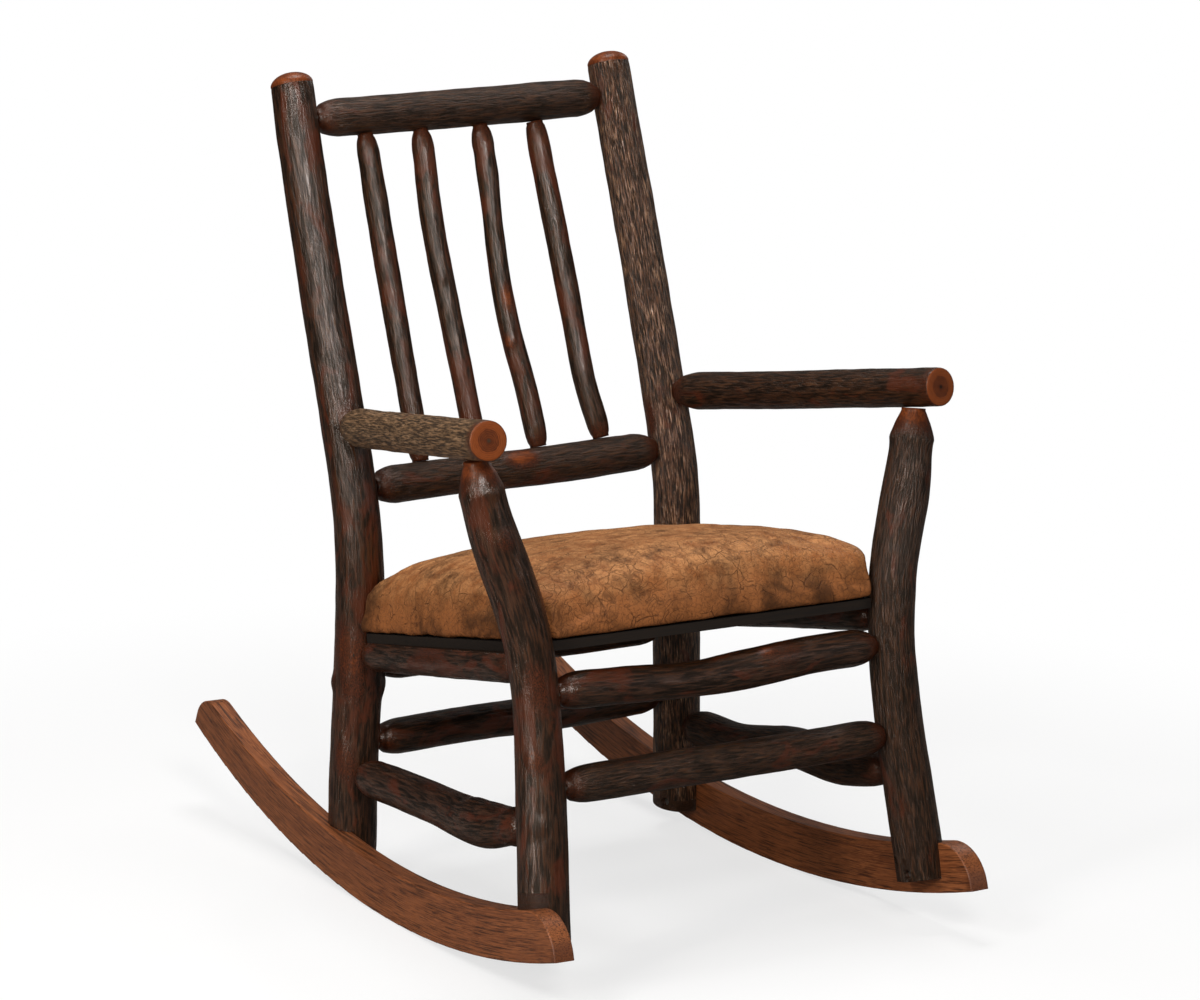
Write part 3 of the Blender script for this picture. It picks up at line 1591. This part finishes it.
# ---------------------------------------------------------------- the chair
@dataclass
class Chair:
    """All the barked poles. tube wraps them, lines collects the posts' centre lines."""

    tube: BarkTube
    smooth: Material
    glossy: Material
    furrowed: Material
    ridged: Material
    arm_bark: Material
    arc: RockerArc = RockerArc()
    plane: SeatPlane = SeatPlane()
    lines: list[PoleLine] = field(default_factory=list)

    ARM_TENON = 0.0125
    ROCKER_SCREW_HOLE = 0.00505
    SEAT_SCREW_HOLE = 0.00425

    def posts(self) -> list[Pole]:
        """The four uprights.

        Returns:
            Their poles, felt from the top down.
        """
        cone = End(Tip.SHOULDER, 0.85, 0.030)
        post = {"slot": "bark_pole", "finish_end": End(Tip.FOOT), "around": 120, "bent": True}
        back = {**post, "heading": (0, -0.34, -0.94), "start": End(Tip.DOME), "floor": 0.100, "tenon": 0.0}
        front = {**post, "start": cone, "floor": 0.125, "tenon": self.ARM_TENON}
        aside, down = 0.165, (-0.19, -0.967)
        return [
            Pole("left_back_post", finish=self.smooth, seed=1.0, **back, knots=(
                Knot((-0.270, 0.156, 0.306), 0.034, 0.001, 0.62, 0.3, 2.0),
                Knot((-0.268, 0.152, 0.262), 0.022, 0.001, 0.55, 0.5, 1.6),
                Knot((-0.276, 0.155, 0.164), 0.022, 0.0015, 0.55, 0.6, 2.0),
                Knot((-0.219, 0.167, 0.262), 0.020, 0.005, 0.3, 0.0, 1.3),
                Knot((-0.277, 0.187, 0.264), 0.014, 0.003, 0.3, 0.0, 1.2),
            )),
            Pole("right_back_post", finish=self.ridged, seed=2.0, **back, knots=(
                Knot((0.230, 0.174, 0.535), 0.022, 0.0025, 0.2, 0.3, 1.2),
                Knot((0.226, 0.200, 0.599), 0.018, 0.002, 0.1, 0.0, 1.4),
                Knot((0.216, 0.213, 0.562), 0.026, 0.0, 0.5, 0.0, 1.6),
            )),
            Pole("left_front_post", finish=self.smooth, heading=(aside, *down), seed=3.0, **front, knots=(
                Knot((-0.308, -0.286, 0.557), 0.020, 0.002, 0.35, 0.3, 1.2),
                Knot((-0.299, -0.295, 0.506), 0.014, 0.0015, 0.2, 0.3, 1.4),
                Knot((-0.287, -0.328, 0.289), 0.016, 0.001, 0.6, 0.0, 1.6),
                Knot((-0.278, -0.318, 0.374), 0.022, 0.0, 0.5, 0.0, 2.2),
                Knot((-0.292, -0.348, 0.211), 0.015, 0.0015, 0.1, 0.0, 1.2),
            )),
            Pole("right_front_post", finish=self.furrowed, seed=4.0, heading=(-aside, *down), **front),
        ]

    def arms(self) -> list[Pole]:
        """The two arms.

        Returns:
            Their poles, felt from the back post forwards.
        """
        shared = {"slot": "bark_arm", "heading": (0, -1, 0.18), "around": 112, "tenon": self.ARM_TENON,
                  "start": End(Tip.SHOULDER, 0.5, 0.025), "finish_end": End(Tip.SAWN, 0.42, 0.016)}
        return [
            Pole("left_arm", finish=self.arm_bark, seed=5.0, **shared),
            Pole("right_arm", finish=self.furrowed, seed=6.0, **shared),
        ]

    def rails(self) -> list[Pole]:
        """Rails and rungs.

        Returns:
            Their poles, felt from the left or from behind.
        """
        across = {"slot": "bark_rail", "heading": (1, 0, 0)}
        fore = {"slot": "bark_rail", "heading": (0, -1, 0.1)}
        rough, fine = {"finish": self.furrowed}, {"finish": self.smooth}
        return [
            Pole("crest_rail", seed=7.0, **across, **rough),
            Pole("lower_back_rail", seed=8.0, **across, **rough, knots=(
                Knot((0.001, 0.183, 0.536), 0.022, 0.001, 0.85, 0.0, 1.6),
            )),
            Pole("front_seat_rail", seed=9.0, **across, **fine, knots=(
                Knot((0.084, -0.311, 0.376), 0.030, 0.0035, 0.3, 0.2, 1.5),
                Knot((0.066, -0.305, 0.379), 0.014, 0.001, 0.7, 0.0, 1.2),
            )),
            Pole("rear_seat_rail", seed=10.0, **across, **fine),
            Pole("front_rung", seed=11.0, **across, **rough),
            Pole("rear_rung", seed=12.0, **across, **fine),
            Pole("left_seat_rail", seed=13.0, **fore, **fine, knots=(
                Knot((-0.277, -0.060, 0.358), 0.024, 0.0, 0.5, 0.0, 2.4),
            )),
            Pole("right_seat_rail", seed=14.0, **fore, **fine),
            Pole("left_side_rung", seed=15.0, **fore, **fine, knots=(
                Knot((-0.274, -0.163, 0.195), 0.030, 0.002, 0.0, 0.0, 0.8),
                Knot((-0.258, -0.057, 0.185), 0.026, 0.0, 0.4, 0.0, 1.6),
            )),
            Pole("right_side_rung", seed=16.0, **fore, **rough),
        ]

    def spindles(self) -> list[Pole]:
        """The four spindles of the back.

        Returns:
            Their poles, felt from below.
        """
        shoulder = End(Tip.SHOULDER, 0.5, 0.018)
        shared = {"slot": "bark_spindle", "heading": (0, 0.35, 1), "finish": self.glossy,
                  "around": 64, "tenon": 0.0082, "start": shoulder, "finish_end": shoulder}
        knots = {
            2: (Knot((-0.073, 0.273, 0.766), 0.012, 0.0012, 0.2, 0.6, 1.2),),
            3: (Knot((0.020, 0.259, 0.733), 0.011, 0.0006, 0.80, 0.0, 2.6),
                Knot((0.016, 0.244, 0.677), 0.012, 0.0015, 0.7, 0.5, 1.4)),
            4: (Knot((0.111, 0.273, 0.767), 0.013, 0.001, 0.1, 0.0, 2.2),),
        }
        return [
            Pole(f"back_spindle_{number}", seed=16.0 + number, knots=knots.get(number, ()), **shared)
            for number in range(1, 5)
        ]

    def build(self) -> None:
        """Make every pole, cut the feet, the flats and the screw holes."""
        rocker_screws = ScrewBores("rocker_screws", self.ROCKER_SCREW_HOLE)
        seat_screws = ScrewBores("seat_screws", self.SEAT_SCREW_HOLE)
        for pole in self.posts() + self.arms() + self.rails() + self.spindles():
            piece = pole.build(self.tube)
            if pole.node.endswith("post"):
                self.lines.append(pole.line())
                self.arc.cut_foot(piece, 1 if "right" in pole.node else -1)
                rocker_screws.cut(piece)
            if pole.node in ("left_seat_rail", "right_seat_rail"):
                self.plane.trim(piece)
                seat_screws.cut(piece)
            pole.dress(piece)
            log.info("%s: %d faces", piece.name, len(piece.data.polygons))


def dress_nodes(finishes: Mapping[str, Material]) -> None:
    """Give the CAD nodes that stay in view their finish.

    Args:
        finishes: Material by node name.
    """
    for name, material in finishes.items():
        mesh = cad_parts[name].data
        if not mesh.materials:
            mesh.materials.append(material)
        for index in range(len(mesh.materials)):
            mesh.materials[index] = material
        log.info("%s: %s", name, material.name)


# ---------------------------------------------------------------- studio
@dataclass(frozen=True)
class Softbox:
    """A soft lamp that the camera doesn't see."""

    name: str
    place: Point
    size: tuple[float, float]
    watts: float
    colour: Colour = WHITE

    def hang(self, target: Point) -> None:
        """Put up the lamp.

        Args:
            target: What it points at.
        """
        lamp = bpy.data.lights.new(self.name, "AREA")
        lamp.shape = "RECTANGLE"
        lamp.size, lamp.size_y = self.size
        lamp.energy = self.watts
        lamp.color = self.colour
        holder = link_object(self.name, lamp)
        holder.location = self.place
        aim = Vector(target) - Vector(self.place)
        holder.rotation_euler = aim.to_track_quat("-Z", "Y").to_euler()
        holder.visible_camera = False


@dataclass(frozen=True)
class Studio:
    """Floor, light and camera."""

    camera_place: Point = (-3.5304, -5.5711, 2.0341)
    azimuth: float = math.radians(-32.419)
    pitch: float = math.radians(12.963)
    roll: float = math.radians(1.307)
    lens: float = 158.327
    sensor: float = 36.0
    clip_end: float = 200.0
    target: Point = (0.0, 0.0, 0.45)
    floor_half: float = 30.0
    floor_level: float = -0.0006
    floor_seen: Colour = (0.8, 0.8, 0.8)        # by the camera
    floor_lighting: Colour = (0.22, 0.21, 0.20)   # by the light that it throws back up
    shadow_white: float = 0.7       # share of pure white near the chair, which rises to 1
    shadow_reach: tuple[float, float] = (0.75, 1.6)
    ambient: float = 0.07
    mirrored: float = 0.06

    def lay_floor(self) -> None:
        """A pale floor that looks white to the camera and keeps the shadow."""
        reach, level = self.floor_half, self.floor_level
        corners = [(x * reach, y * reach, level) for x, y in ((-1, -1), (1, -1), (1, 1), (-1, 1))]
        floor = new_piece("floor", corners, [], [(0, 1, 2, 3)])
        graph = ShaderGraph("pale_floor")
        seen = graph.add("ShaderNodeLightPath").outputs["Is Camera Ray"]
        paper = graph.blend(seen, self.floor_lighting, self.floor_seen)
        diffuse = graph.add("ShaderNodeBsdfDiffuse", {"Color": paper}).outputs[0]
        white = graph.add("ShaderNodeEmission", {"Color": WHITE, "Strength": 1.0}).outputs[0]
        far = graph.spread(graph.length(graph.metres()), *self.shadow_reach)
        share = graph.times(seen, graph.scaled(far, 1.0 - self.shadow_white, self.shadow_white))
        mixed = graph.add("ShaderNodeMixShader", {0: share, 1: diffuse, 2: white}).outputs[0]
        floor.data.materials.append(graph.finish(mixed))

    def light_room(self) -> None:
        """Dim even light from all round, white to the camera."""
        world = bpy.data.worlds.new("studio_world")
        world.use_nodes = True
        world.node_tree.nodes.clear()
        graph = NodeGraph(world.node_tree)
        rays = graph.add("ShaderNodeLightPath").outputs
        shiny = graph.times(rays["Is Glossy Ray"], self.mirrored)
        seen = graph.math("MAXIMUM", rays["Is Camera Ray"], shiny)
        strength = graph.scaled(seen, 1.0 - self.ambient, self.ambient)
        sky = graph.add("ShaderNodeBackground", {"Color": WHITE, "Strength": strength})
        graph.add("ShaderNodeOutputWorld", {"Surface": sky.outputs[0]})
        bpy.context.scene.world = world

    def hang_lamps(self) -> None:
        """A key by the camera, a strip and a lamp at the left, one overhead and two weak ones."""
        for box in (
            Softbox("key", (-1.7, -4.0, 3.0), (1.2, 1.2), 150.0, (1.0, 0.98, 0.95)),
            Softbox("strip", (-3.4, -1.4, 1.25), (0.25, 2.3), 62.0, (1.0, 0.92, 0.84)),
            Softbox("side", (-3.0, -0.8, 3.2), (1.0, 1.0), 50.0),
            Softbox("fill", (2.6, -3.2, 1.8), (0.8, 1.6), 12.0),
            Softbox("overhead", (0.2, 0.6, 3.4), (1.4, 1.4), 66.0),
            Softbox("rim", (3.0, 1.6, 2.2), (0.6, 2.0), 12.0),
        ):
            box.hang(self.target)

    def set_camera(self) -> None:
        """Stand the camera where the chair is seen from its front left."""
        turn, tip, lean = self.azimuth, self.pitch, self.roll
        back = Vector((math.sin(turn) * math.cos(tip), -math.cos(turn) * math.cos(tip), math.sin(tip)))
        level = Vector((math.cos(turn), math.sin(turn), 0.0))
        upright = back.cross(level)
        right = level * math.cos(lean) + upright * math.sin(lean)
        up = upright * math.cos(lean) - level * math.sin(lean)
        data = bpy.data.cameras.new("camera")
        data.lens = self.lens
        data.sensor_width = self.sensor
        data.sensor_fit = "HORIZONTAL"
        data.clip_end = self.clip_end
        camera = link_object("camera", data)
        turned = Matrix((right, up, back)).transposed().to_4x4()
        camera.matrix_world = Matrix.Translation(self.camera_place) @ turned
        bpy.context.scene.camera = camera

    def build(self) -> None:
        """Set the whole studio up."""
        self.lay_floor()
        self.light_room()
        self.hang_lamps()
        self.set_camera()
        bpy.context.scene.view_settings.view_transform = "Standard"


def main() -> None:
    """Build the chair and the studio."""
    logging.basicConfig(level=logging.INFO, format="%(name)s %(message)s")
    smooth = BarkFinish(
        "smooth_bark", furrow_width=3.4, furrow_depth=0.35, weathered_share=0.12, flush_share=0.5, coat=0.8,
    )
    glossy = BarkFinish(
        "glossy_bark", furrow_width=3.0, furrow_depth=0.22, weathered_share=0.08, flush_share=0.6, coat=0.5,
        gloss=0.05,
    )
    furrowed = BarkFinish(
        "furrowed_bark", furrow_width=2.4, furrow_depth=0.8, weathered_share=0.4, flush_share=0.3, coat=0.5,
    )
    ridged = BarkFinish(
        "ridged_bark", ridge=(0.085, 0.038, 0.018), weathered=(0.47, 0.32, 0.215),
        furrow_width=2.0, furrow_depth=0.9, weathered_share=0.85, flush_share=0.25,
    )
    grey = BarkFinish(
        "grey_bark", (0.035, 0.021, 0.012), (0.22, 0.135, 0.072), (0.42, 0.29, 0.18), furrow_width=2.2,
        furrow_depth=0.9, weathered_share=0.7, flush_share=0.1, coat=0.3,
    )
    barks = [bark.material() for bark in (smooth, glossy, furrowed, ridged, grey)]
    chair = Chair(BarkTube(), *barks)
    chair.build()
    plated = PlainFinish("plated_steel", (0.25, 0.24, 0.22), (0.42, 0.40, 0.37), 0.3, metallic=1.0)
    browned = PlainFinish("browned_steel", (0.02, 0.014, 0.01), (0.05, 0.035, 0.025), 0.5)
    ply = PlainFinish(
        "stained_plywood", (0.005, 0.003, 0.002), (0.012, 0.007, 0.004), 0.75,
        stretch=(0.1, 1, 6), pitch=4.0, depth=0.1,
    )
    lining = PlainFinish(
        "black_lining", (0.012, 0.012, 0.012), (0.03, 0.03, 0.03), 0.7, pitch=0.8, depth=0.1,
    )
    board, steel = SawnFinish().material(), plated.material()
    dress_nodes({
        "left_rocker": board,
        "right_rocker": board,
        "seat_board": ply.material(),
        "dust_cover": lining.material(),
        "rocker_screws": steel,
        "seat_screws": steel,
        "joint_nails": browned.material(),
        "cover_staples": steel,
    })
    cushion = Cushion(chair.plane, SuedeFinish().material()).build(chair.lines)
    log.info("%s: %d faces", cushion.name, len(cushion.data.polygons))
    Studio().build()


if __name__ == "__main__":
    main()
